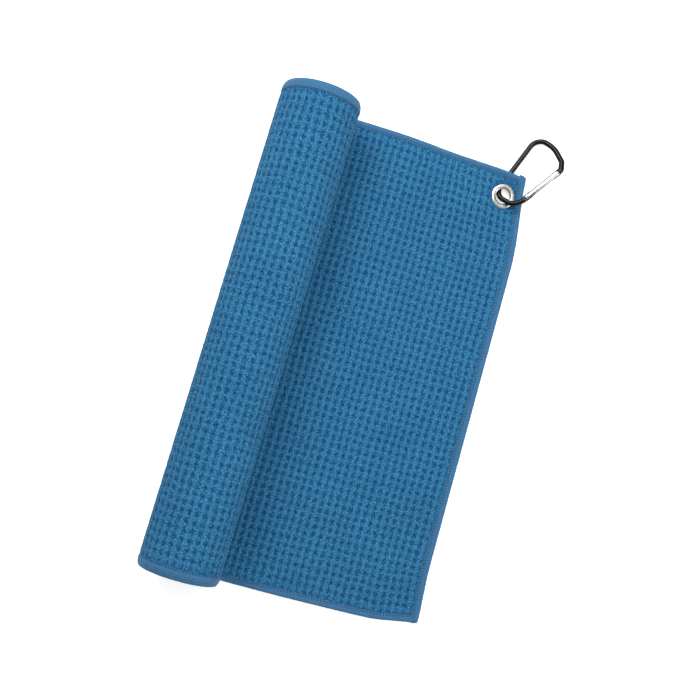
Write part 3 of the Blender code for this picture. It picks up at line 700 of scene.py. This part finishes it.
def spun(outline, steps=96):   # (radius, height) pairs, turned once round +Z
    shape = bmesh.new()
    verts = [shape.verts.new((radius, 0, height)) for radius, height in outline]
    rim = [shape.edges.new(pair) for pair in zip(verts, verts[1:] + verts[:1])]
    bmesh.ops.spin(shape, geom=verts + rim, cent=(0, 0, 0), axis=(0, 0, 1), angle=math.tau,
                   steps=steps, use_merge=True)
    bmesh.ops.remove_doubles(shape, verts=shape.verts, dist=0.001 * mm)
    bmesh.ops.recalc_face_normals(shape, faces=shape.faces)
    return shape


grommetTurn = Matrix((grommetAside, spineAlong, grommetNormal)).transposed().to_4x4()
grommetPlace = Matrix.Translation(grommetCentre) @ grommetTurn

eyeletOutline = [   # millimetres
    (10.5, 0.62), (10.52, 0.72), (10.42, 0.90), (10.1, 1.06), (9.6, 1.17), (9.0, 1.23), (8.4, 1.24),
    (7.9, 1.20), (7.4, 1.09), (7.0, 0.92), (6.72, 0.70), (6.56, 0.45), (6.5, 0.15), (6.5, -0.6),
    (6.52, -1.15), (6.62, -1.45), (6.85, -1.66), (7.3, -1.76), (7.75, -1.70), (8.05, -1.52),
    (8.08, -1.38), (7.85, -1.30), (7.4, -1.36), (7.05, -1.3), (6.9, -1.1), (6.9, 0.3), (7.05, 0.55),
    (7.4, 0.64)]
washerOutline = [(10.3, -0.66), (10.32, -0.76), (10.2, -0.92), (9.8, -1.0), (8.4, -1.04),
                 (7.35, -1.0), (7.22, -0.9), (7.22, -0.66)]

for name, node, outline in (("grommetEyelet", "grommet_eyelet", eyeletOutline),
                            ("grommetWasher", "grommet_washer", washerOutline)):
    shape = spun([(radius * mm, height * mm) for radius, height in outline])
    bmesh.ops.transform(shape, matrix=grommetPlace, verts=shape.verts)
    ring = makePiece(name, shape, finishes["nickel"], "towel")
    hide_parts(node)
print("grommet set")


# ---- the carabiner

gateAlong = spineAlong * math.cos(carabiner["gateAngle"]) + loopAcross * math.sin(carabiner["gateAngle"])
gateOut = loopAcross * math.cos(carabiner["gateAngle"]) - spineAlong * math.sin(carabiner["gateAngle"])
rivetPoint = spinePoint + spineAlong * carabiner["rivet"][0] + loopAcross * carabiner["rivet"][1]
gateTurnMatrix = Matrix((gateAlong, gateOut, gateAlong.cross(gateOut))).transposed().to_4x4()
gatePlace = Matrix.Translation(rivetPoint) @ gateTurnMatrix

gateSizes = {
    "radius": 0.0026,
    "back": 0.0024,
    "span": 0.0330,
    "pinSpan": 0.0303,
    "hingeSlot": 0.0062,
    "latchSlot": 0.0262,
    "slotHalf": 0.0010,
    "bladeHalf": 0.0007,
    "bladeWide": 0.0028,
    "bore": 0.0015,
    "boreEnd": 0.0170,
    "rivetHole": 0.0011,
    "pinHole": 0.0008,
}


def onGateLine(along):
    angle = carabiner["gateAngle"]
    return Vector(carabiner["rivet"]) + Vector((math.cos(angle), math.sin(angle))) * along


def roundedPath(corners):   # straight runs and arcs, as points in the loop's plane
    points = [corners[0][0]]
    for (before, _), (corner, radius), (after, _) in zip(corners, corners[1:], corners[2:]):
        toBefore, toAfter = (before - corner).normalized(), (after - corner).normalized()
        halfAngle = toBefore.angle(toAfter) / 2
        setback = radius / math.tan(halfAngle)
        centre = corner + (toBefore + toAfter).normalized() * (radius / math.sin(halfAngle))
        first = corner + toBefore * setback - centre
        turn = first.angle_signed(corner + toAfter * setback - centre)
        count = max(4, round(abs(turn) / math.radians(5)))
        points += [centre + Matrix.Rotation(-turn * step / count, 2) @ first for step in range(count + 1)]
    return points + [corners[-1][0]]


def inLoop(point):
    return spinePoint + spineAlong * point.x + loopAcross * point.y


def tube(points, radii, sideways, sides):   # round a path, a ring at each of its points
    shape = bmesh.new()
    lastRim = None
    for index, (point, radius, side) in enumerate(zip(points, radii, sideways)):
        before, after = points[max(index - 1, 0)], points[min(index + 1, len(points) - 1)]
        ahead = (after - before).normalized()
        side = (side - ahead * side.dot(ahead)).normalized()
        turn = Matrix((side, ahead.cross(side), ahead)).transposed().to_4x4()
        place = Matrix.Translation(point) @ turn
        made = bmesh.ops.create_circle(shape, segments=sides, radius=radius, matrix=place)
        rim = list({edge for vert in made["verts"] for edge in vert.link_edges})
        if lastRim:
            bmesh.ops.bridge_loops(shape, edges=lastRim + rim)
        else:
            first = rim
        lastRim = rim
    bmesh.ops.holes_fill(shape, edges=first + lastRim, sides=sides)
    bmesh.ops.recalc_face_normals(shape, faces=shape.faces)
    return shape


def barShape(points):
    shares = np.arange(len(points)) / len(points)
    swell = (shares - carabiner["swellStart"]) / carabiner["swellRamp"]
    radii = carabiner["barRadius"] * (1 + carabiner["noseSwell"] * easeIn(swell))
    loopNormal = spineAlong.cross(loopAcross)
    return tube([inLoop(point) for point in points], radii.tolist(), [loopNormal] * len(points), 28)


def tongue(outline):   # a flat blade in the gate's own frame
    shape = bmesh.new()
    face = shape.faces.new([shape.verts.new((x, y, -gateSizes["bladeHalf"])) for x, y in outline])
    raised = bmesh.ops.extrude_face_region(shape, geom=[face])
    verts = [item for item in raised["geom"] if isinstance(item, bmesh.types.BMVert)]
    bmesh.ops.translate(shape, vec=(0, 0, 2 * gateSizes["bladeHalf"]), verts=verts)
    bmesh.ops.transform(shape, matrix=gatePlace, verts=shape.verts)
    return shape


def drill(radius, low, high, turn=None, segments=32):   # a rod in the gate's own frame
    shape = bmesh.new()
    bmesh.ops.create_cone(shape, cap_ends=True, segments=segments, radius1=radius, radius2=radius,
                          depth=high - low)
    bmesh.ops.translate(shape, vec=(0, 0, (low + high) / 2), verts=shape.verts)
    if turn:
        bmesh.ops.transform(shape, matrix=turn, verts=shape.verts)
    bmesh.ops.transform(shape, matrix=gatePlace, verts=shape.verts)
    return shape


def block(low, high):
    shape = bmesh.new()
    bmesh.ops.create_cube(shape, size=1)
    bmesh.ops.scale(shape, vec=[b - a for a, b in zip(low, high)], verts=shape.verts)
    bmesh.ops.translate(shape, vec=[(a + b) / 2 for a, b in zip(low, high)], verts=shape.verts)
    bmesh.ops.transform(shape, matrix=gatePlace, verts=shape.verts)
    return shape


def combine(shape, steps):   # cuts and joins, each (operation, tool shape), done and applied
    def loose(name, source):
        bmesh.ops.recalc_face_normals(source, faces=source.faces)
        mesh = bpy.data.meshes.new(name)
        source.to_mesh(mesh)
        source.free()
        made = bpy.data.objects.new(name, mesh)
        bpy.context.scene.collection.objects.link(made)
        return made

    target = loose("blank", shape)
    for operation, tool in steps:
        tool = loose("tool", tool)
        modifier = target.modifiers.new("cut", "BOOLEAN")
        modifier.object = tool
        modifier.operation = operation
        modifier.solver = "EXACT"
        bpy.context.view_layer.update()
        graph = bpy.context.evaluated_depsgraph_get()
        done = bpy.data.meshes.new_from_object(target.evaluated_get(graph))
        target.modifiers.clear()
        target.data = done
        bpy.data.objects.remove(tool)
    result = bmesh.new()
    result.from_mesh(target.data)
    bpy.data.objects.remove(target)
    return result


def makeBar():
    neck, nose = carabiner["neck"], carabiner["nose"]
    heelAlong = carabiner["loopEnd"] - carabiner["rivet"][0]
    path = roundedPath([
        (onGateLine(-neck), 0),
        (onGateLine(heelAlong / math.cos(carabiner["gateAngle"])), carabiner["neckBend"]),
        (Vector((carabiner["loopEnd"], 0)), carabiner["heelBend"]),
        (Vector((carabiner["loopTop"], 0)), carabiner["topBend"]),
        (Vector(carabiner["topMiddle"]), carabiner["archBend"]),
        (Vector(carabiner["noseCorner"]), carabiner["noseBend"]),
        (onGateLine(nose + carabiner["mouthRun"]), carabiner["mouthBend"]),
        (onGateLine(nose), 0)])
    wide, pinSpan = gateSizes["bladeWide"], gateSizes["pinSpan"]
    notch = 0.85 * mm
    hinge = [(-neck - 5 * mm, -1.4 * mm), (-neck, -wide), (4 * mm, -wide), (5 * mm, -wide + 1 * mm),
             (5 * mm, wide - 1 * mm), (4 * mm, wide), (-neck, wide), (-neck - 5 * mm, 1.4 * mm)]
    latch = [(nose + 3 * mm, -0.2 * mm), (nose, wide), (28 * mm, wide), (27 * mm, wide - 1 * mm),
             (27 * mm, -wide + 1 * mm), (28 * mm, -wide), (pinSpan - notch, -wide),
             (pinSpan - notch, 0.6 * mm), (pinSpan, 1.0 * mm), (pinSpan + notch, 0.6 * mm),
             (pinSpan + notch, -wide), (nose, -wide), (nose + 3 * mm, -2.8 * mm)]
    shape = combine(barShape(path), [
        ("UNION", tongue(hinge)), ("UNION", tongue(latch)),
        ("DIFFERENCE", drill(gateSizes["rivetHole"], -3 * mm, 3 * mm))])
    bar = makePiece("carabinerBar", shape, finishes["black"], "carabiner")
    bar.data.set_sharp_from_angle(angle=math.radians(40))
    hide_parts("carabiner_body")


def makeGate():
    alongGate = Matrix.Rotation(math.pi / 2, 4, "Y")
    radius, reach = gateSizes["radius"], 4 * mm
    shape = drill(radius, -gateSizes["back"], gateSizes["span"], alongGate, 48)
    rims = [edge for edge in shape.edges if any(len(face.verts) > 4 for face in edge.link_faces)]
    bmesh.ops.bevel(shape, geom=rims, offset=0.5 * mm, segments=3, profile=0.5, affect="EDGES", material=-1)
    pinHole = drill(gateSizes["pinHole"], -reach, reach, Matrix.Translation((gateSizes["pinSpan"], 0, 0)))
    shape = combine(shape, [
        ("DIFFERENCE", block((-reach, -reach, -gateSizes["slotHalf"]),
                             (gateSizes["hingeSlot"], reach, gateSizes["slotHalf"]))),
        ("DIFFERENCE", block((gateSizes["latchSlot"], -reach, -gateSizes["slotHalf"]),
                             (gateSizes["span"] + reach, reach, gateSizes["slotHalf"]))),
        ("DIFFERENCE", drill(gateSizes["bore"], gateSizes["hingeSlot"] - 1 * mm, gateSizes["boreEnd"],
                             alongGate)),
        ("DIFFERENCE", drill(gateSizes["rivetHole"], -reach, reach)),
        ("DIFFERENCE", pinHole)])
    gate = makePiece("gateBar", shape, finishes["silver"], "gate")
    gate.data.set_sharp_from_angle(angle=math.radians(40))
    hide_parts("gate")


spring = {
    "coil": 0.0009,
    "wire": 0.0002,
    "start": 0.0091,            # from the rivet, along the gate
    "end": 0.0164,
    "turns": 5,
    "pressed": 0.0013,          # it gets this much shorter as the gate opens
}


def makeSpring():
    count = spring["turns"] * 16
    inset = spring["start"] + spring["wire"]
    rise = (spring["end"] - spring["wire"] - inset) / count
    points, outward = [], []
    for step in range(count + 1):
        angle = math.tau * spring["turns"] * step / count
        radial = Vector((0, math.cos(angle), math.sin(angle)))
        points.append(gatePlace @ (Vector((inset + rise * step, 0, 0)) + radial * spring["coil"]))
        outward.append(gateTurnMatrix.to_3x3() @ radial)
    shape = tube(points, [spring["wire"]] * len(points), outward, 8)
    coil = makePiece("gateSpring", shape, finishes["steel"], "gate")
    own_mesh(coil)
    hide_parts("gate_spring")


makeBar()
makeGate()
makeSpring()
for node in ("gate_rivet", "latch_pin", "spring_plunger"):
    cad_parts[node].data.materials.clear()
    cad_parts[node].data.materials.append(finishes["steel"])
print("carabiner made")


# ---- floor, light and camera

studio = {
    "floor": (0.93, 0.93, 0.93, 1),
    "floorGlow": 0.66,          # keeps shadows faint; it lights nothing, only the camera sees it
    "room": (1.0, 1.0, 1.0, 1),
    "roomStrength": 0.30,
    "cameraPlace": (-0.0491, -0.0694, 0.9518),
    "cameraTurn": (3.815, -4.208, 16.433),      # degrees
    "lens": 58.09,
    "sensor": 36,
    "floorSize": 4.0,           # half of its width
    "floorDepth": -0.0005,      # just under the lowest tape
}


def makeFloor():
    shape = bmesh.new()
    bmesh.ops.create_grid(shape, x_segments=1, y_segments=1, size=studio["floorSize"])
    mesh = bpy.data.meshes.new("floor")
    shape.to_mesh(mesh)
    shape.free()
    floor = bpy.data.objects.new("floor", mesh)
    bpy.context.scene.collection.objects.link(floor)
    finish, tree, shader = newFinish("floorPaper", 0.95)
    shader.inputs["Base Color"].default_value = studio["floor"]
    shader.inputs["Emission Color"].default_value = (1, 1, 1, 1)
    seen = addNode(tree, "ShaderNodeLightPath").outputs["Is Camera Ray"]
    glow = multiplyAdd(tree, seen, studio["floorGlow"], 0.0)
    tree.links.new(glow, shader.inputs["Emission Strength"])
    shader.inputs["Specular IOR Level"].default_value = 0.1
    mesh.materials.append(finish)
    floor.location.z = studio["floorDepth"]


def addLight(name, place, target, size, power):
    data = bpy.data.lights.new(name, "AREA")
    data.shape = "RECTANGLE"
    data.size, data.size_y = size
    data.energy = power
    light = bpy.data.objects.new(name, data)
    light.location = place
    light.rotation_mode = "QUATERNION"
    light.rotation_quaternion = (Vector(target) - Vector(place)).to_track_quat("-Z", "Y")
    bpy.context.scene.collection.objects.link(light)


lamps = {   # place, where it points, size in metres, watts
    "keyBox": ((-0.75, 0.90, 1.1), (0, 0.10, 0), (0.7, 0.7), 13),
    "overheadBox": ((0.25, 0.65, 1.6), (0, 0.1, 0), (1.1, 1.1), 9.5),
    "fillBox": ((1.3, 0.0, 0.45), (-0.1, 0, 0.03), (0.5, 0.9), 5),
    "glintBox": ((0.22, 0.35, 1.5), (0.1, 0.19, 0), (0.16, 0.16), 2.5),
}

makeFloor()
for name, values in lamps.items():
    addLight(name, *values)
room = bpy.data.worlds.new("room")
room.use_nodes = True
room.node_tree.nodes["Background"].inputs["Color"].default_value = studio["room"]
room.node_tree.nodes["Background"].inputs["Strength"].default_value = studio["roomStrength"]
bpy.context.scene.world = room
bpy.context.scene.view_settings.view_transform = "Standard"

cameraData = bpy.data.cameras.new("camera")
cameraData.lens = studio["lens"]
cameraData.sensor_width = studio["sensor"]
cameraData.clip_start = 0.01
camera = bpy.data.objects.new("camera", cameraData)
camera.location = studio["cameraPlace"]
camera.rotation_euler = [math.radians(value) for value in studio["cameraTurn"]]
bpy.context.scene.collection.objects.link(camera)
bpy.context.scene.camera = camera
print("studio ready")
